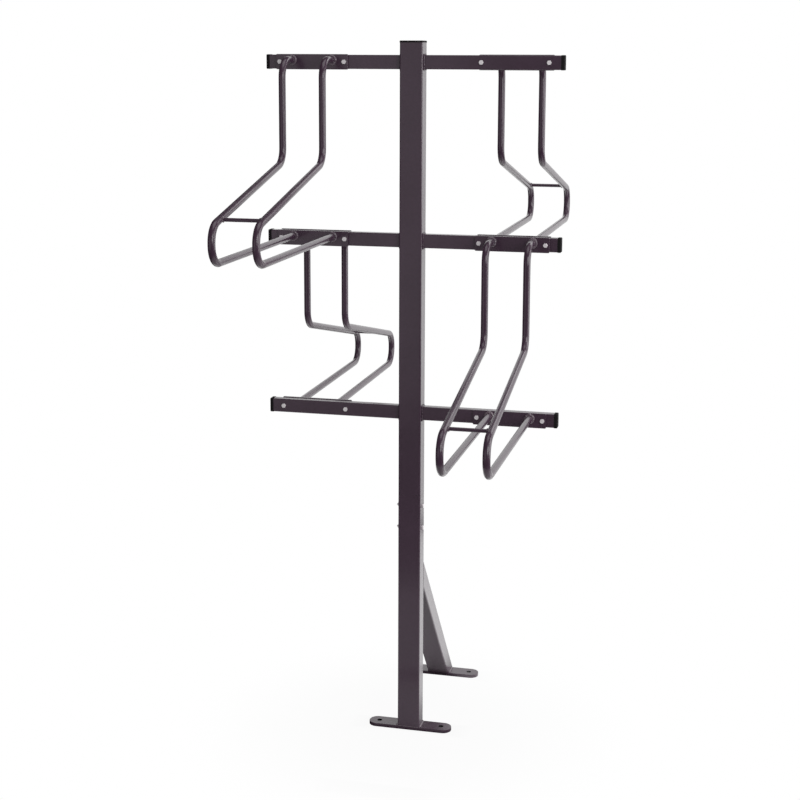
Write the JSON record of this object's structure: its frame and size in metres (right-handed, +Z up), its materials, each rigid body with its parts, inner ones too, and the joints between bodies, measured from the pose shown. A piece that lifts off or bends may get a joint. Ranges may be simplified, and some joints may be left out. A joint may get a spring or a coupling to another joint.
{
  "type": "vertical bike rack",
  "caption": "Free-standing post with crossbars, a leaning rear brace and foot plates, carrying bent-tube wheel holders that store bicycles upright on both sides.",
  "frame": {"origin": "on the floor, on the axis of the post, which is the middle of the rack's footprint", "axes": "+X along the crossbars to the right, +Y back towards the rear foot plate, +Z up the post"},
  "size_m": [0.8228, 1.341, 1.9558],
  "materials": {
    "charcoal_powder_coat": "satin charcoal powder coat over steel tube and plate",
    "black_plastic": "fine-grained moulded black plastic",
    "zinc_plated_steel": "bright zinc plating",
    "bare_steel": "bare drawn steel, hidden inside the post"
  },
  "bodies": {
    "root": {"back_left_cross_rod": "charcoal_powder_coat", "back_left_inner_tube": "charcoal_powder_coat", "back_left_lower_plate": "charcoal_powder_coat", "back_left_outer_tube": "charcoal_powder_coat", "back_left_upper_plate": "charcoal_powder_coat", "back_right_cross_rod": "charcoal_powder_coat", "back_right_inner_tube": "charcoal_powder_coat", "back_right_lower_plate": "charcoal_powder_coat", "back_right_outer_tube": "charcoal_powder_coat", "back_right_upper_plate": "charcoal_powder_coat", "crossbar_long_bolts": "zinc_plated_steel", "crossbar_nuts": "zinc_plated_steel", "crossbar_short_bolts": "zinc_plated_steel", "crossbar_washers": "zinc_plated_steel", "front_foot_plate": "charcoal_powder_coat", "front_left_cross_rod": "charcoal_powder_coat", "front_left_inner_tube": "charcoal_powder_coat", "front_left_lower_plate": "charcoal_powder_coat", "front_left_outer_tube": "charcoal_powder_coat", "front_left_upper_plate": "charcoal_powder_coat", "front_right_cross_rod": "charcoal_powder_coat", "front_right_inner_tube": "charcoal_powder_coat", "front_right_lower_plate": "charcoal_powder_coat", "front_right_outer_tube": "charcoal_powder_coat", "front_right_upper_plate": "charcoal_powder_coat", "lower_crossbar": "charcoal_powder_coat", "lower_crossbar_left_cap": "black_plastic", "lower_crossbar_right_cap": "black_plastic", "lower_post": "charcoal_powder_coat", "middle_crossbar": "charcoal_powder_coat", "middle_crossbar_left_cap": "black_plastic", "middle_crossbar_right_cap": "black_plastic", "post_top_cap": "black_plastic", "rear_brace": "charcoal_powder_coat", "rear_foot_plate": "charcoal_powder_coat", "splice_bolts": "zinc_plated_steel", "splice_nuts": "zinc_plated_steel", "splice_sleeve": "bare_steel", "top_crossbar": "charcoal_powder_coat", "top_crossbar_left_cap": "black_plastic", "top_crossbar_right_cap": "black_plastic", "upper_post": "charcoal_powder_coat"}
  },
  "joints": []
}
